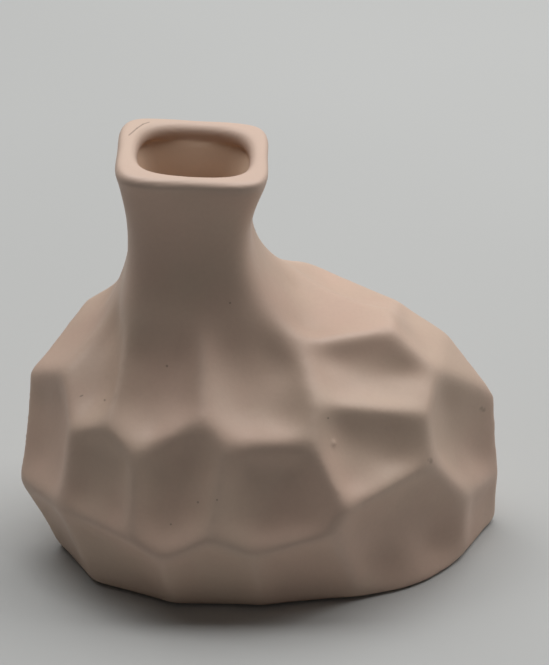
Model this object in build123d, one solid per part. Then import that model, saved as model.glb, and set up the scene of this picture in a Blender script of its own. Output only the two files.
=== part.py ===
from build123d import *
import os

# Sizes of the vase in millimetres.
LENGTH = 120.0
DEPTH = 81.0
BODY_HEIGHT = 70.0
NECK_HEIGHT = 35.6
WALL = 4.0
FLOOR_THICKNESS = 5.0
GLAZE_THICKNESS = 0.5

# The neck's sections: widest where it flares onto the body and at the rim, with a waist between.
SEAM_WIDTH = 38.5
SEAM_DEPTH = 35.0
WAIST_WIDTH = 28.8
WAIST_DEPTH = 29.0
RIM_WIDTH = 37.0
RIM_DEPTH = 37.0
SEAM_X = -14.2
SEAM_Y = 5.0
WAIST_X = -16.8
WAIST_Y = 5.0
RIM_X = -15.6
RIM_Y = 6.2
RIM_TILT = 3.5

# The lip overhangs the neck's inside and is rounded over, more so at the mouth.
LIP_WALL = 5.3
LIP_HEIGHT = 3.6
LIP_RADIUS = 1.9
MOUTH_RADIUS = 2.4

# How far a cut runs past what it cuts.
OVERRUN = 1.0

# Places closer together than this count as one.
TINY = 0.01

# How far along the half diagonal a rounded square's corner lies, on the neck and on its mouth.
CORNER_SHARE = 0.885
MOUTH_CORNER_SHARE = 0.80

# Where the points that shape a bowl lie, between the facet's middle and its border.
MIDWAY_SHARE = 0.5

# The neck's profile: shares of its height, of the flare at the seam and of the flare at the rim.
PROFILE_SHARES = (
    (0.0, 1.0, 0.0),
    (0.14, 0.48, 0.0),
    (0.46, 0.0, 0.0),
    (0.75, 0.0, 0.35),
    (1.0, 0.0, 1.0),
)

# Places of the facets' corners: shares of half the length, of half the depth and of the body's height.
# They are named by ring, foot f, low l, middle m and top t, and counted from the left end, front first.
PLACE_SHARES = {
    "f1": (-0.682, -0.55, 0.0),
    "f2": (-0.35, -0.78, 0.0),
    "f3": (0.01, -0.8, 0.0),
    "f4": (0.405, -0.705, 0.0),
    "f5": (0.845, -0.247, 0.0),
    "f6": (1.0, 0.185, 0.0),
    "f7": (0.80, 0.58, 0.0),
    "f8": (0.46, 0.76, 0.0),
    "f9": (0.08, 0.84, 0.0),
    "f10": (-0.30, 0.78, 0.0),
    "f11": (-0.60, 0.58, 0.0),
    "f12": (-0.85, -0.11, 0.0),
    "l1": (-1.0, -0.17, 0.30),
    "l2": (-0.81, -0.58, 0.337),
    "l3": (-0.513, -0.93, 0.324),
    "l4": (-0.398, -0.965, 0.258),
    "l5": (-0.20, -1.0, 0.36),
    "l6": (-0.035, -0.98, 0.285),
    "l7": (0.279, -0.965, 0.368),
    "l8": (0.334, -0.955, 0.46),
    "l9": (0.688, -0.54, 0.504),
    "l10": (0.842, -0.3, 0.277),
    "l11": (1.0, 0.15, 0.21),
    "l12": (0.84, 0.58, 0.24),
    "l13": (0.54, 0.86, 0.35),
    "l14": (0.14, 0.96, 0.23),
    "l15": (-0.22, 1.0, 0.36),
    "l16": (-0.56, 0.80, 0.24),
    "l17": (-0.82, 0.46, 0.34),
    "m1": (-0.955, 0.1, 0.66),
    "m2": (-0.76, -0.51, 0.62),
    "m3": (-0.611, -0.63, 0.69),
    "m4": (-0.498, -0.765, 0.613),
    "m5": (-0.216, -0.725, 0.743),
    "m6": (-0.136, -0.82, 0.672),
    "m7": (0.201, -0.8, 0.679),
    "m8": (0.216, -0.665, 0.778),
    "m9": (0.662, -0.455, 0.674),
    "m10": (0.712, -0.18, 0.754),
    "m11": (0.975, 0.195, 0.53),
    "m12": (0.767, 0.34, 0.746),
    "m13": (0.42, 0.82, 0.67),
    "m14": (-0.10, 0.96, 0.65),
    "m15": (-0.44, 0.86, 0.62),
    "m16": (-0.74, 0.58, 0.60),
    "t1": (-0.79, -0.195, 0.762),
    "t2": (0.15, -0.34, 0.921),
    "t3": (0.53, -0.145, 0.907),
    "t4": (0.53, 0.03, 0.917),
    "t5": (0.563, 0.49, 0.828),
    "t6": (0.2, 0.81, 0.887),
    "t7": (-0.32, 0.78, 0.87),
    "t8": (-0.73, 0.48, 0.84),
}

# Ridges that run down from the neck n: shares of the way out, and of the way down, at each bend.
NECK_RIDGE_SHARES = {
    ("n2", "t1"): ((0.40, 0.55),),
    ("n3", "m3"): ((0.50, 0.58),),
    ("n4", "m5"): ((0.50, 0.58),),
    ("n5", "t2"): ((0.50, 0.58),),
    ("n7", "t4"): ((0.32, 0.58), (0.66, 0.90)),
    ("n7", "t6"): ((0.45, 0.48),),
    ("n8", "t7"): ((0.50, 0.58),),
    ("n1", "t8"): ((0.42, 0.62),),
}

# Edges of the foot that bow out: shares of the edge's length, along it and away from it, at the bend.
FOOT_BEND_SHARES = {
    ("f4", "f5"): (0.62, 0.115),
}

# Facets as loops of corners, each with the depth of its dish as a share of its mean radius.
FACET_DISH_SHARES = {
    "n2 n3 m3 m2 t1": 0.27,
    "n3 n4 m5 m4 m3": 0.25,
    "n4 n5 t2 m8 m7 m6 m5": 0.23,
    "n5 n6 n7 t4 t3 t2": 0.18,
    "n7 t6 t5 t4": 0.18,
    "n7 n8 t7 t6": 0.12,
    "n8 n1 t8 t7": 0.15,
    "n1 n2 t1 m1 t8": 0.15,
    "m1 t1 m2 l2 l1": 0.20,
    "m2 m3 m4 l3 l2": 0.24,
    "m4 m5 m6 l5 l4 l3": 0.26,
    "m6 m7 l8 l7 l6 l5": 0.26,
    "t2 t3 m10 m9 m8": 0.18,
    "m8 m9 l9 l8 m7": 0.23,
    "t4 t3 m10 m12 t5": 0.06,
    "m10 m11 m12": 0.04,
    "m10 m11 l11 l10 l9 m9": 0.20,
    "m11 m12 l12 l11": 0.12,
    "m12 t5 m13 l13 l12": 0.18,
    "t5 t6 m13": 0.15,
    "t6 t7 m14 m13": 0.15,
    "m13 m14 l15 l14 l13": 0.18,
    "t7 t8 m16 m15 m14": 0.17,
    "m14 m15 l16 l15": 0.17,
    "m15 m16 l17 l16": 0.17,
    "m1 t8 m16 l17 l1": 0.18,
    "l1 l2 f1 f12": 0.12,
    "l1 f12 l17": 0.12,
    "l2 l3 l4 f2 f1": 0.12,
    "l4 l5 l6 f3 f2": 0.12,
    "l6 l7 f4 f3": 0.12,
    "l7 l8 l9 l10 f5 f4": 0.15,
    "l10 l11 f6 f5": 0.12,
    "l11 l12 f7 f6": 0.12,
    "l12 l13 f8 f7": 0.12,
    "l13 l14 f9 f8": 0.12,
    "l14 l15 f10 f9": 0.12,
    "l15 l16 f11 f10": 0.12,
    "l16 l17 f12 f11": 0.12,
}

NECK_NAMES = tuple(f"n{count}" for count in range(1, 9))
FOOT_NAMES = tuple(f"f{count}" for count in range(1, 13))

# Headings of a walk round the neck at each of its eight places, the first at the back left corner.
FIRST_HEADING = 225
HEADING_STEP = 45


def flared(waist, seam, rim, seam_share, rim_share):
    """A size or place of the neck that is partly the seam's or the rim's, and otherwise the waist's."""
    return waist + (seam - waist) * seam_share + (rim - waist) * rim_share


def neck_plane(rise_share, seam_share, rim_share):
    """The plane of one of the neck's sections; it tips with the rim."""
    middle = (
        flared(WAIST_X, SEAM_X, RIM_X, seam_share, rim_share),
        flared(WAIST_Y, SEAM_Y, RIM_Y, seam_share, rim_share),
        BODY_HEIGHT + NECK_HEIGHT * rise_share,
    )
    return Plane(middle).rotated((0, RIM_TILT * rim_share, 0))


def seam_section(inset):
    """The plane, width and depth of the section where the neck meets the body, less the inset all round."""
    return neck_plane(*PROFILE_SHARES[0]), SEAM_WIDTH - 2 * inset, SEAM_DEPTH - 2 * inset


def neck_points(plane, width, depth, corner_share=CORNER_SHARE):
    """Corners and side middles of a rounded square on the plane, left side first."""
    along = width / 2
    across = depth / 2
    corner_x = corner_share * along
    corner_y = corner_share * across
    flat_points = (
        (-corner_x, corner_y),
        (-along, 0),
        (-corner_x, -corner_y),
        (0, -across),
        (corner_x, -corner_y),
        (along, 0),
        (corner_x, corner_y),
        (0, across),
    )
    return [plane.from_local_coords(Vector(x, y)) for x, y in flat_points]


def neck_edges(plane, width, depth, corner_share=CORNER_SHARE):
    """The eight curves of a rounded square on the plane."""
    points = neck_points(plane, width, depth, corner_share)
    headings = [plane.x_dir.rotate(Axis(plane.origin, plane.z_dir), FIRST_HEADING + HEADING_STEP * turn)
                for turn in range(len(points))]
    return [Edge.make_spline([points[turn - 1], points[turn]], tangents=[headings[turn - 1], headings[turn]])
            for turn in range(len(points))]


def outer_places():
    """Places of the facets' corners on the outside of the body."""
    places = {name: Vector(x * LENGTH / 2, y * DEPTH / 2, z * BODY_HEIGHT)
              for name, (x, y, z) in PLACE_SHARES.items()}
    places.update(zip(NECK_NAMES, neck_points(*seam_section(0))))
    return places


def middle_of(loop, places):
    """The mean place of a facet's corners."""
    return sum((places[name] for name in loop), Vector()) / len(loop)


def outward_normal(loop, places):
    """The mean normal of a facet, pointing away from the hollow."""
    middle = middle_of(loop, places)
    normal = Vector()
    for name, after in zip(loop, loop[1:] + loop[:1]):
        normal += (places[name] - middle).cross(places[after] - middle)
    core = Vector(0, 0, BODY_HEIGHT / 2)
    if normal.dot(middle - core) < 0:
        normal = -normal
    return normal.normalized()


def inset_places(inset):
    """Places of the corners moved in by the inset; the foot's corners stay on the ground."""
    places = outer_places()
    normals = {name: Vector() for name in places}
    for facet in FACET_DISH_SHARES:
        loop = facet.split()
        for name in loop:
            normals[name] += outward_normal(loop, places)
    for name in PLACE_SHARES:
        normal = normals[name]
        if name in FOOT_NAMES:
            normal = Vector(normal.X, normal.Y)
        places[name] -= normal.normalized() * inset
    places.update(zip(NECK_NAMES, neck_points(*seam_section(inset))))
    return places


def ridge_edge(start, end, places):
    """A straight ridge, or a curved one that runs down from the neck or bows out along the foot."""
    top = places[start]
    way = places[end] - top
    bend_shares = NECK_RIDGE_SHARES.get((start, end), ())
    bends = [top + Vector(way.X * out, way.Y * out, way.Z * down) for out, down in bend_shares]
    if (start, end) in FOOT_BEND_SHARES:
        along_share, away_share = FOOT_BEND_SHARES[start, end]
        bends = [top + way * along_share + Vector(way.Y, -way.X) * away_share]
    if bends:
        return Edge.make_spline([top, *bends, places[end]])
    return Edge.make_line(top, places[end])


def dished_face(loop, borders, places, dish_share):
    """A facet that is hollowed like a shallow bowl between its ridges."""
    middle = middle_of(loop, places)
    normal = outward_normal(loop, places)
    radius = sum((places[name] - middle).length for name in loop) / len(loop)
    depth = radius * dish_share
    rim = [places[name] for name in loop] + [border @ MIDWAY_SHARE for border in borders]
    points = [middle - normal * depth]
    for place in rim:
        halfway = middle + (place - middle) * MIDWAY_SHARE
        points.append(halfway - normal * depth * (1 - MIDWAY_SHARE**2))
    return Face.make_surface(Wire(borders), surface_points=points)


def faceted_block(inset):
    """A closed block of dished facets, as large as the body less the inset all round."""
    places = inset_places(inset)
    seam = neck_edges(*seam_section(inset))
    edges = {frozenset((NECK_NAMES[turn - 1], NECK_NAMES[turn])): edge for turn, edge in enumerate(seam)}
    for start, end in (*NECK_RIDGE_SHARES, *FOOT_BEND_SHARES):
        edges[frozenset((start, end))] = ridge_edge(start, end, places)
    faces = []
    for facet, dish_share in FACET_DISH_SHARES.items():
        loop = facet.split()
        borders = []
        for name, after in zip(loop, loop[1:] + loop[:1]):
            pair = frozenset((name, after))
            if pair not in edges:
                edges[pair] = ridge_edge(name, after, places)
            borders.append(edges[pair])
        faces.append(dished_face(loop, borders, places, dish_share))
    foot = [edges[frozenset((FOOT_NAMES[turn - 1], name))] for turn, name in enumerate(FOOT_NAMES)]
    faces.append(Face(Wire(seam)))
    faces.append(Face(Wire(foot)))
    return Solid(Shell(faces))


def neck_block(inset):
    """The neck as a closed block, less the inset all round its sides."""
    sections = []
    for profile in PROFILE_SHARES:
        width = flared(WAIST_WIDTH, SEAM_WIDTH, RIM_WIDTH, *profile[1:]) - 2 * inset
        depth = flared(WAIST_DEPTH, SEAM_DEPTH, RIM_DEPTH, *profile[1:]) - 2 * inset
        sections.append(Wire(neck_edges(neck_plane(*profile), width, depth)))
    return Solid.make_loft(sections)


def mouth_block():
    """The opening through the lip."""
    rim_plane = neck_plane(*PROFILE_SHARES[-1])
    width = RIM_WIDTH - 2 * LIP_WALL
    depth = RIM_DEPTH - 2 * LIP_WALL
    outline = Wire(neck_edges(rim_plane.offset(OVERRUN), width, depth, MOUTH_CORNER_SHARE))
    return Solid.extrude(Face(outline), rim_plane.z_dir * -(LIP_HEIGHT + 2 * OVERRUN))


def lip_edges(collar, at_mouth):
    """Edges of the lip's top, round its mouth or round its outside."""
    rim_plane = neck_plane(*PROFILE_SHARES[-1])
    found = []
    for edge in collar.edges():
        middle = rim_plane.to_local_coords(edge.center())
        is_near = middle.length < (RIM_WIDTH - LIP_WALL) / 2
        if abs(middle.Z) < TINY and is_near == at_mouth:
            found.append(edge)
    return found


def neck_collar():
    """The hollow neck with its rounded lip, which overhangs the hollow."""
    lip_plane = neck_plane(*PROFILE_SHARES[-1]).offset(-LIP_HEIGHT)
    collar = neck_block(0) - split(neck_block(WALL), lip_plane, keep=Keep.BOTTOM) - mouth_block()
    collar = fillet(lip_edges(collar, True), MOUTH_RADIUS)
    return fillet(lip_edges(collar, False), LIP_RADIUS)


def faceted_body(cavity):
    """The hollow wall of dished facets, open at the foot and at the neck."""
    return faceted_block(0) - cavity


def floor_slab(cavity):
    """The floor, set inside the wall and flush with its foot."""
    return split(cavity, Plane((0, 0, FLOOR_THICKNESS)), keep=Keep.BOTTOM)


def glaze_lining(cavity):
    """The thin glaze on the inside of the wall and on the floor."""
    coated = split(cavity, Plane((0, 0, FLOOR_THICKNESS)), keep=Keep.TOP)
    free = faceted_block(WALL + GLAZE_THICKNESS)
    return coated - split(free, Plane((0, 0, FLOOR_THICKNESS + GLAZE_THICKNESS)), keep=Keep.TOP)


def main():
    cavity = faceted_block(WALL)
    pieces = {
        "faceted_body": faceted_body(cavity),
        "neck_collar": neck_collar(),
        "floor_slab": floor_slab(cavity),
        "glaze_lining": glaze_lining(cavity),
    }
    os.makedirs("parts", exist_ok=True)
    for name, piece in pieces.items():
        export_step(piece, f"parts/{name}.step")


if __name__ == "__main__":
    main()
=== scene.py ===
import math

import bmesh
import bpy
import numpy as np
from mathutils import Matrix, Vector, noise


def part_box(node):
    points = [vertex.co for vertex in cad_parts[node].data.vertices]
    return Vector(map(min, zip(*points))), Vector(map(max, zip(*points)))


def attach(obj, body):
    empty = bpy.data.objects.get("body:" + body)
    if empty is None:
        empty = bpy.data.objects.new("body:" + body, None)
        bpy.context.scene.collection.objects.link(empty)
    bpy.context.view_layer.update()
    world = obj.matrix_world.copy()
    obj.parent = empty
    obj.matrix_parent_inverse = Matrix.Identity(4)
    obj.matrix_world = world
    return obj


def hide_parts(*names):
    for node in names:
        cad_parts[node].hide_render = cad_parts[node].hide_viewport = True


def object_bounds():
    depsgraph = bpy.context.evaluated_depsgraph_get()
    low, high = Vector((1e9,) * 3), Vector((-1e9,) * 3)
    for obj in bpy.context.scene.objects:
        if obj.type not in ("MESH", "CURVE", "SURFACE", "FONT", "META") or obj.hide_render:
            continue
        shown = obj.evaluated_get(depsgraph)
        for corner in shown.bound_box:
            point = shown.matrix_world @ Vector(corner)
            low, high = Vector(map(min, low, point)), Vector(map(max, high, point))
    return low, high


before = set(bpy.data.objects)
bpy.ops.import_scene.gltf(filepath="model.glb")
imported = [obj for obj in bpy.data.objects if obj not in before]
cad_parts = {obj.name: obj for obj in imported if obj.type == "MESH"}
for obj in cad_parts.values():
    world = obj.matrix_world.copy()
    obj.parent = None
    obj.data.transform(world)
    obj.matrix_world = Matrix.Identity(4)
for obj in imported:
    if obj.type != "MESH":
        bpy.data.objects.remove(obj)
cad_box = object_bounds()

MM = 0.001

# The neck's two ends; the rim slopes down from its left side.
SEAM_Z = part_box("neck_collar")[0].z
RIM_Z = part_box("neck_collar")[1].z
RIM_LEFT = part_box("neck_collar")[0].x
RIM_TILT = 3.5
RIM_SLOPE = math.tan(math.radians(RIM_TILT))

# The skin's mesh: its grain, how far the neck is sunk into the body, and how far ridges are eased.
VOXEL = 0.6 * MM
NECK_SINK = 0.4 * MM
EASE_ROUNDS = 60
EASE_SHARE = 0.5
LIP_HEIGHT = 5.0 * MM
FLAT_FOOT = 0.5 * MM
RIDGE_SPAN = 0.45 * MM

# What counts as facing down, and as facing neither out nor in.
FACING_DOWN = -0.7
SIDE_BAND = 0.1

# Depths under the rim over which the hollow's glaze sets in and the lip's pale colour, partly painted
# highlight, ends.
GLAZE_EDGE = (3.0 * MM, 4.2 * MM)
LIP_EDGE = (0.8 * MM, 3.6 * MM)

# Unevenness of the hand finish: wavelength and height.
WAVES = ((16.0 * MM, 0.16 * MM), (6.0 * MM, 0.05 * MM))

# Heights above the ground over which it sets in.
UNEVEN_EDGE = (1.0 * MM, 6.0 * MM)

# Middle of the hollow, seen from which the outside faces away.
BODY_CORE = Vector((-4.0, 1.0, 34.0)) * MM
NECK_CORE = Vector((-16.0, 5.2, 0.0)) * MM

# A blister on the front: its place, reach and height.
BLISTER = Vector((16.91, -28.05, 44.73)) * MM
BLISTER_REACH = 0.7 * MM
BLISTER_HEIGHT = 0.45 * MM


def sunk_union():
    """One mesh of the body and the neck, whose walls overlap a little at the seam."""
    union = bmesh.new()
    union.from_mesh(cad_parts["faceted_body"].data)
    body_count = len(union.verts)
    union.from_mesh(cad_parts["neck_collar"].data)
    union.verts.ensure_lookup_table()
    for vert in union.verts[body_count:]:
        if vert.co.z < SEAM_Z + NECK_SINK / 2:
            vert.co.z -= NECK_SINK
    bmesh.ops.remove_doubles(union, verts=union.verts, dist=VOXEL / 1000)
    mesh = bpy.data.meshes.new("union")
    union.to_mesh(mesh)
    union.free()
    return mesh


def remeshed(mesh):
    """The mesh rebuilt in even squares."""
    holder = bpy.data.objects.new("union", mesh)
    bpy.context.scene.collection.objects.link(holder)
    remesh = holder.modifiers.new("even squares", "REMESH")
    remesh.mode = "VOXEL"
    remesh.voxel_size = VOXEL
    even = bpy.data.meshes.new_from_object(holder.evaluated_get(bpy.context.evaluated_depsgraph_get()))
    bpy.data.objects.remove(holder)
    bpy.data.meshes.remove(mesh)
    return even


def read_points(mesh):
    """The mesh's corners as an array."""
    points = np.empty(len(mesh.vertices) * 3, np.float32)
    mesh.vertices.foreach_get("co", points)
    return points.reshape(-1, 3).astype(float)


def write_points(mesh, points):
    """Moves the mesh's corners to the given places."""
    mesh.vertices.foreach_set("co", points.astype(np.float32).ravel())
    mesh.update()


def read_normals(mesh):
    """The outward direction at each of the mesh's corners."""
    normals = np.empty(len(mesh.vertices) * 3, np.float32)
    mesh.vertices.foreach_get("normal", normals)
    return normals.reshape(-1, 3).astype(float)


def neighbour_mean(values, pairs, counts):
    """The mean over each corner's neighbours."""
    total = np.zeros_like(values)
    for axis in range(values.shape[1]):
        column = values[:, axis]
        total[:, axis] += np.bincount(pairs[:, 0], column[pairs[:, 1]], len(values))
        total[:, axis] += np.bincount(pairs[:, 1], column[pairs[:, 0]], len(values))
    return total / counts[:, None]


def smooth_step(values, low, high):
    """Rises smoothly from 0 at low to 1 at high."""
    share = np.clip((values - low) / (high - low), 0, 1)
    return share * share * (3 - 2 * share)


def outside_share(points, normals):
    """1 on the outside of the vase and 0 in its hollow."""
    from_core = points - np.array(BODY_CORE)
    high = points[:, 2] > SEAM_Z
    from_core[high] = points[high] - np.array(NECK_CORE)
    from_core[high, 2] = 0
    from_core /= np.linalg.norm(from_core, axis=1, keepdims=True)
    return smooth_step((from_core * normals).sum(1), -SIDE_BAND, SIDE_BAND)


def below_rim(points):
    """How far each point lies under the leaning rim."""
    return RIM_Z - RIM_SLOPE * (points[:, 0] - RIM_LEFT) - points[:, 2]


def eased(points, pairs, counts, share):
    """The points with their ridges rounded over."""
    soft = points.copy()
    for _ in range(EASE_ROUNDS):
        soft += (neighbour_mean(soft, pairs, counts) - soft) * (EASE_SHARE * share[:, None])
    return soft


def unevenness(points):
    """How far each point stands out or in through the hand finish."""
    rise = np.zeros(len(points))
    for length, height in WAVES:
        rise += height * np.array([noise.noise(Vector(point) / length) for point in points])
    return rise


def fitted(points):
    """The points stretched back to the solids' length and depth."""
    for axis in (0, 1):
        low, high = points[:, axis].min(), points[:, axis].max()
        share = (points[:, axis] - low) / (high - low)
        points[:, axis] = cad_box[0][axis] + share * (cad_box[1][axis] - cad_box[0][axis])
    return points


def set_attribute(mesh, name, values):
    """Keeps one number for each corner, for the materials."""
    mesh.attributes.new(name, "FLOAT", "POINT").data.foreach_set("value", values.astype(np.float32))


def whole_skin():
    """The outside and the neck's inside as one soft-ridged mesh."""
    mesh = remeshed(sunk_union())
    points = read_points(mesh)
    normals = read_normals(mesh)
    pairs = np.empty(len(mesh.edges) * 2, np.int32)
    mesh.edges.foreach_get("vertices", pairs)
    pairs = pairs.reshape(-1, 2)
    counts = np.bincount(pairs.ravel(), minlength=len(points)).astype(float)
    outside = outside_share(points, normals)
    foot = (points[:, 2] < FLAT_FOOT) & (normals[:, 2] < FACING_DOWN)
    points[foot, 2] = 0
    below_lip = 1 - smooth_step(points[:, 2], RIM_Z - LIP_HEIGHT, RIM_Z - LIP_HEIGHT / 2)
    soft = eased(points, pairs, counts, outside * below_lip)
    ridge = ((points - soft) * normals).sum(1) / RIDGE_SPAN
    above_foot = smooth_step(soft[:, 2], *UNEVEN_EDGE)
    soft += normals * (unevenness(soft) * outside * below_lip * above_foot)[:, None]
    apart = np.linalg.norm(points - np.array(BLISTER), axis=1) / BLISTER_REACH
    soft += normals * (BLISTER_HEIGHT * np.exp(-apart**2))[:, None]
    write_points(mesh, fitted(soft))
    set_attribute(mesh, "ridge", ridge)
    under = below_rim(points)
    set_attribute(mesh, "inside", (1 - outside) * smooth_step(under, *GLAZE_EDGE))
    set_attribute(mesh, "lip", 1 - smooth_step(under, *LIP_EDGE))
    return mesh


def cut_at_seam(whole, name, keep_above):
    """The part of the skin above or below the seam, closed across its wall."""
    part = bmesh.new()
    part.from_mesh(whole)
    kept_normal = part.verts.layers.float_vector.new("kept_normal")
    for vert in part.verts:
        vert[kept_normal] = vert.normal
    cut = bmesh.ops.bisect_plane(
        part,
        geom=part.verts[:] + part.edges[:] + part.faces[:],
        plane_co=(0, 0, SEAM_Z),
        plane_no=(0, 0, 1),
        clear_inner=keep_above,
        clear_outer=not keep_above,
    )
    rings = [edge for edge in cut["geom_cut"] if isinstance(edge, bmesh.types.BMEdge)]
    wall = bmesh.ops.bridge_loops(part, edges=rings)["faces"]
    for face in part.faces:
        face.smooth = True
    for face in wall:
        face.smooth = False
    part.faces.index_update()
    wall_indices = {face.index for face in wall}
    mesh = bpy.data.meshes.new(name)
    part.to_mesh(mesh)
    part.free()
    kept = np.empty(len(mesh.vertices) * 3, np.float32)
    mesh.attributes["kept_normal"].data.foreach_get("vector", kept)
    kept = kept.reshape(-1, 3)
    corner_normals = []
    for face in mesh.polygons:
        for index in face.vertices:
            corner_normals.append(face.normal if face.index in wall_indices else kept[index])
    mesh.attributes.remove(mesh.attributes["kept_normal"])
    mesh.normals_split_custom_set([tuple(normal) for normal in corner_normals])
    return mesh


def add_piece(mesh, name, material, node):
    """Shows a mesh in place of one of the solids."""
    piece = bpy.data.objects.new(name, mesh)
    bpy.context.scene.collection.objects.link(piece)
    mesh.materials.clear()
    mesh.materials.append(material)
    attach(piece, "root")
    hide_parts(node)


class Nodes:
    """A material's node tree with short ways to add to it."""

    def __init__(self, name):
        self.material = bpy.data.materials.new(name)
        self.material.use_nodes = True
        self.tree = self.material.node_tree
        self.shader = self.tree.nodes["Principled BSDF"]

    def add(self, kind, inputs=None, **settings):
        node = self.tree.nodes.new(kind)
        for key, value in settings.items():
            setattr(node, key, value)
        for key, value in (inputs or {}).items():
            if isinstance(value, bpy.types.NodeSocket):
                self.tree.links.new(value, node.inputs[key])
            else:
                node.inputs[key].default_value = value
        return node

    def math(self, operation, first, second=0.0, clamp=False):
        node = self.add("ShaderNodeMath", {0: first, 1: second}, operation=operation, use_clamp=clamp)
        return node.outputs[0]

    def vector(self, operation, inputs):
        return self.add("ShaderNodeVectorMath", inputs, operation=operation)

    def mix(self, share, first, second):
        node = self.add("ShaderNodeMix", {"Factor": share}, data_type="RGBA")
        for socket, value in ((node.inputs[6], first), (node.inputs[7], second)):
            if isinstance(value, bpy.types.NodeSocket):
                self.tree.links.new(value, socket)
            else:
                socket.default_value = (*value, 1)
        return node.outputs[2]

    def place(self):
        return self.add("ShaderNodeTexCoord").outputs["Object"]

    def noise(self, place, size, detail=3.0, roughness=0.5):
        inputs = {"Vector": place, "Scale": 1 / size, "Detail": detail, "Roughness": roughness}
        return self.add("ShaderNodeTexNoise", inputs).outputs["Fac"]

    def ranged(self, value, low, high, to_low=0.0, to_high=1.0):
        inputs = {"Value": value, "From Min": low, "From Max": high, "To Min": to_low, "To Max": to_high}
        return self.add("ShaderNodeMapRange", inputs, interpolation_type="SMOOTHSTEP").outputs[0]

    def stored(self, name):
        return self.add("ShaderNodeAttribute", attribute_name=name).outputs["Fac"]

    def specks(self, place, spacing, radius, rarity):
        cells = self.add("ShaderNodeTexVoronoi", {"Vector": place, "Scale": 1 / spacing})
        near = self.ranged(cells.outputs["Distance"], 0.6 * radius / spacing, radius / spacing, 1.0, 0.0)
        chance = self.add("ShaderNodeSeparateColor", {"Color": cells.outputs["Color"]}).outputs["Red"]
        return self.math("MULTIPLY", near, self.math("GREATER_THAN", chance, rarity))

    def stroke(self, place, start, end, radius):
        """1 along a short straight line, fading at its border."""
        way = end - start
        offset = self.vector("SUBTRACT", {0: place, 1: start}).outputs[0]
        reach = self.vector("DOT_PRODUCT", {0: offset, 1: way}).outputs["Value"]
        share = self.math("DIVIDE", reach, way.length_squared, True)
        nearest = self.vector("SCALE", {0: way, "Scale": share}).outputs[0]
        apart = self.vector("DISTANCE", {0: offset, 1: nearest}).outputs["Value"]
        return self.ranged(apart, 0.4 * radius, radius, 1.0, 0.0)

    def spot(self, place, middle, radius):
        """1 on the skin round a place, however far the skin lies in front of it or behind it."""
        return self.stroke(place, middle - NEEDLE, middle + NEEDLE, radius)

    def bump(self, height, depth, strength=1.0):
        inputs = {"Height": height, "Distance": depth, "Strength": strength}
        return self.add("ShaderNodeBump", inputs).outputs[0]

    def link(self, value, name):
        self.tree.links.new(value, self.shader.inputs[name])


# Colours of the clay, of its pinholes, of the glaze, of the bare clay and of the floor; the clay's pale
# colour also paints highlight on the ridges and the lip, and its deep colour also paints shade in the
# hollows.
BLUSH = (0.62, 0.463, 0.358)
BLUSH_PINK = (0.632, 0.447, 0.350)
BLUSH_PALE_HIGHLIGHT = (0.70, 0.545, 0.45)
BLUSH_DEEP = (0.50, 0.345, 0.27)
PINHOLE = (0.13, 0.085, 0.062)
PEACH = (0.64, 0.46, 0.335)
PEACH_DEEP = (0.56, 0.385, 0.27)
RAW = (0.70, 0.575, 0.48)
RAW_DARK = (0.58, 0.46, 0.375)
FLOOR_GREY = (0.50, 0.505, 0.495)
FLOOR_PALE = (0.53, 0.535, 0.525)


# A short way into the skin, along the view of the photograph.
NEEDLE = Vector((0.0, 0.876, -0.482)) * (1.8 * MM)

# Marks seen in the photograph: places and radii of dark specks and of brown scuffs, and ends of fine lines.
DARK_SPECKS = (
    ((-7.42, -11.63, 73.53), 0.35),
    ((-22.59, -16.0, 58.73), 0.42),
    ((15.94, -26.25, 50.31), 0.35),
    ((-15.08, -33.74, 31.43), 0.38),
    ((-10.44, -37.4, 34.31), 0.32),
    ((-37.73, -16.18, 49.4), 0.38),
    ((-21.63, -34.11, 25.42), 0.35),
)
SCUFFS = (
    ((55.27, 4.71, 34.32), 1.3),
    ((40.84, -21.96, 35.69), 1.0),
)
FINE_LINES = (
    ((-31.79, 12.25, 106.58), (-30.06, 16.51, 106.48)),
    ((-30.06, 16.51, 106.48), (-28.72, 19.03, 106.4)),
    ((-28.72, 19.03, 106.4), (-27.32, 20.39, 106.32)),
    ((-44.6, -13.81, 48.3), (-43.3, -13.81, 49.4)),
)
FINE_LINE_RADIUS = 0.3 * MM


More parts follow.
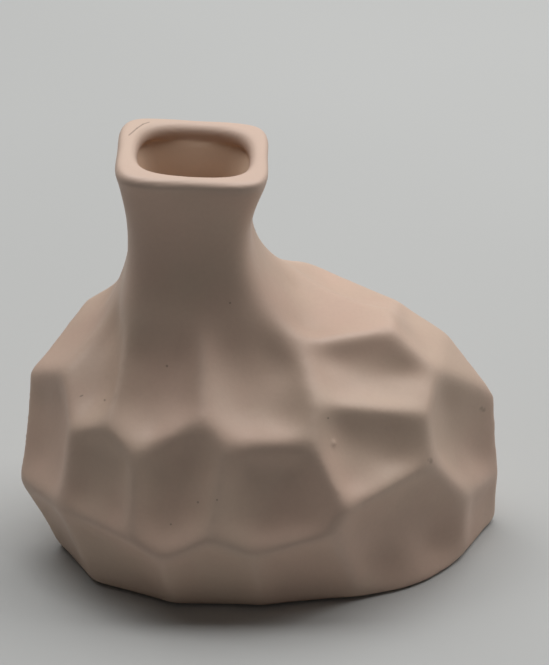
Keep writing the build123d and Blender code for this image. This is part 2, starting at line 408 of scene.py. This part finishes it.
def clay_material():
    """Matte blush clay: soft mottling, ridges painted paler as painted highlight and thinner glaze, hollows
    painted deeper as painted shade, a lip painted paler as painted highlight, a few pinholes and the marks
    of use.
    """
    made = Nodes("matte_blush_clay")
    place = made.place()
    broad = made.ranged(made.noise(place, 30 * MM, 4.0), 0.35, 0.65)
    colour = made.mix(broad, BLUSH, BLUSH_PINK)
    ridge = made.stored("ridge")
    # Ridges painted paler: partly thinner glaze on the crests, partly painted highlight.
    colour = made.mix(made.ranged(ridge, 0.1, 1.2, 0.0, 0.12), colour, BLUSH_PALE_HIGHLIGHT)
    # Hollows between the ridges painted deeper: painted shade in the dishes.
    colour = made.mix(made.ranged(ridge, -0.1, -0.8, 0.0, 0.08), colour, BLUSH_DEEP)
    fine = made.noise(place, 1.1 * MM, 2.0)
    colour = made.mix(made.ranged(fine, 0.25, 0.75, 0.0, 0.12), colour, BLUSH_DEEP)
    # Lip painted paler: painted highlight on the lit rim, partly thinner glaze at the lip.
    colour = made.mix(made.math("MULTIPLY", made.stored("lip"), 0.45), colour, BLUSH_PALE_HIGHLIGHT)
    colour = made.mix(made.ranged(made.stored("inside"), 0.3, 0.9), colour, PEACH)
    holes = made.specks(place, 9 * MM, 0.32 * MM, 0.90)
    colour = made.mix(made.math("MULTIPLY", holes, 0.75), colour, PINHOLE)
    for middle, radius in SCUFFS:
        scuff = made.math("MULTIPLY", made.spot(place, Vector(middle) * MM, radius * MM), 0.3)
        colour = made.mix(made.math("MULTIPLY", scuff, made.ranged(fine, 0.35, 0.6)), colour, PINHOLE)
    for start, end in FINE_LINES:
        line = made.stroke(place, Vector(start) * MM, Vector(end) * MM, FINE_LINE_RADIUS)
        colour = made.mix(made.math("MULTIPLY", line, 0.5), colour, PINHOLE)
    for middle, radius in DARK_SPECKS:
        speck = made.spot(place, Vector(middle) * MM, radius * MM)
        colour = made.mix(made.math("MULTIPLY", speck, 0.5), colour, PINHOLE)
    made.link(colour, "Base Color")
    made.link(made.ranged(made.noise(place, 9 * MM), 0.3, 0.7, 0.50, 0.60), "Roughness")
    height = made.math("SUBTRACT", made.math("MULTIPLY", fine, 0.35), made.math("MULTIPLY", holes, 1.0))
    made.link(made.bump(height, 0.12 * MM, 0.5), "Normal")
    return made.material


def glaze_material():
    """The warm satin glaze of the hollow."""
    made = Nodes("satin_peach_glaze")
    place = made.place()
    pooled = made.ranged(made.noise(place, 22 * MM, 4.0), 0.35, 0.65)
    colour = made.mix(pooled, PEACH, PEACH_DEEP)
    made.link(colour, "Base Color")
    made.link(made.ranged(made.noise(place, 5 * MM), 0.3, 0.7, 0.30, 0.42), "Roughness")
    made.link(made.bump(made.noise(place, 3 * MM), 0.15 * MM, 0.4), "Normal")
    return made.material


def raw_material():
    """The unglazed clay under the floor, with its grog and wiping marks."""
    made = Nodes("raw_clay")
    place = made.place()
    cloud = made.ranged(made.noise(place, 14 * MM, 5.0, 0.6), 0.3, 0.7)
    colour = made.mix(cloud, RAW, RAW_DARK)
    grog = made.specks(place, 2.2 * MM, 0.28 * MM, 0.70)
    colour = made.mix(made.math("MULTIPLY", grog, 0.5), colour, BLUSH_DEEP)
    made.link(colour, "Base Color")
    made.link(made.ranged(cloud, 0.0, 1.0, 0.78, 0.9), "Roughness")
    made.link(made.bump(made.noise(place, 0.7 * MM, 4.0, 0.7), 0.2 * MM, 0.5), "Normal")
    return made.material


def floor_material():
    """A plain pale floor."""
    made = Nodes("pale_floor")
    place = made.place()
    tone = made.ranged(made.noise(place, 0.4, 2.0), 0.3, 0.7)
    made.link(made.mix(tone, FLOOR_GREY, FLOOR_PALE), "Base Color")
    made.shader.inputs["Roughness"].default_value = 0.9
    return made.material


# The floor's radius, the lamp, and the surroundings as a light and as they are seen.
FLOOR_RADIUS = 4.0
FLOOR_SIDES = 96
KEY_PLACE = (0.3, 0.33, 1.0)
KEY_WIDTH = 2.0
KEY_DEPTH = 0.8
KEY_POWER = 17.5
AROUND_LIGHT = 0.03
AROUND_SEEN = 0.42
AROUND_COLOUR = (0.97, 0.985, 1.0, 1)

# The camera: its place, how far it looks down, and its focal length as a share of the picture's height.
CAMERA_PLACE = (0.0032, -0.5797, 0.3778)
CAMERA_PITCH = 28.8
FOCAL_SHARE = 2700 / 665
SENSOR = 36.0


def add_floor():
    """A wide floor under the vase."""
    mesh = bpy.data.meshes.new("floor")
    bm = bmesh.new()
    bmesh.ops.create_circle(bm, cap_ends=True, segments=FLOOR_SIDES, radius=FLOOR_RADIUS)
    bm.to_mesh(mesh)
    bm.free()
    floor = bpy.data.objects.new("floor", mesh)
    bpy.context.scene.collection.objects.link(floor)
    mesh.materials.append(floor_material())


def add_panel_light(name, place, width, depth, power):
    """A soft panel of light that faces straight down."""
    lamp = bpy.data.lights.new(name, "AREA")
    lamp.shape = "RECTANGLE"
    lamp.size = width
    lamp.size_y = depth
    lamp.energy = power
    holder = bpy.data.objects.new(name, lamp)
    holder.location = place
    bpy.context.scene.collection.objects.link(holder)


def set_world():
    """Even grey light, and a pale background behind the floor."""
    world = bpy.data.worlds.new("studio")
    world.use_nodes = True
    tree = world.node_tree
    background = tree.nodes["Background"]
    rays = tree.nodes.new("ShaderNodeLightPath").outputs
    seen = rays["Is Camera Ray"]
    for kind in ("Is Glossy Ray", "Is Transmission Ray"):
        either = tree.nodes.new("ShaderNodeMath")
        either.operation = "MAXIMUM"
        tree.links.new(seen, either.inputs[0])
        tree.links.new(rays[kind], either.inputs[1])
        seen = either.outputs[0]
    strength = tree.nodes.new("ShaderNodeMapRange")
    tree.links.new(seen, strength.inputs["Value"])
    strength.inputs["To Min"].default_value = AROUND_LIGHT
    strength.inputs["To Max"].default_value = AROUND_SEEN
    tree.links.new(strength.outputs[0], background.inputs["Strength"])
    background.inputs["Color"].default_value = AROUND_COLOUR
    bpy.context.scene.world = world


def add_camera():
    """The photograph's view: from the front, well above, with a long lens."""
    camera = bpy.data.cameras.new("camera")
    camera.sensor_fit = "VERTICAL"
    camera.sensor_height = SENSOR
    camera.lens = SENSOR * FOCAL_SHARE
    camera.clip_start = 0.01
    holder = bpy.data.objects.new("camera", camera)
    holder.location = CAMERA_PLACE
    holder.rotation_euler = (math.radians(90 - CAMERA_PITCH), 0, 0)
    bpy.context.scene.collection.objects.link(holder)
    bpy.context.scene.camera = holder


skin = whole_skin()
clay = clay_material()
add_piece(cut_at_seam(skin, "body_skin", False), "body_skin", clay, "faceted_body")
add_piece(cut_at_seam(skin, "neck_skin", True), "neck_skin", clay, "neck_collar")
bpy.data.meshes.remove(skin)
for node, material in (("glaze_lining", glaze_material()), ("floor_slab", raw_material())):
    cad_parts[node].data.materials.clear()
    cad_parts[node].data.materials.append(material)

add_floor()
add_panel_light("key", KEY_PLACE, KEY_WIDTH, KEY_DEPTH, KEY_POWER)
set_world()
add_camera()
bpy.context.scene.view_settings.view_transform = "Standard"
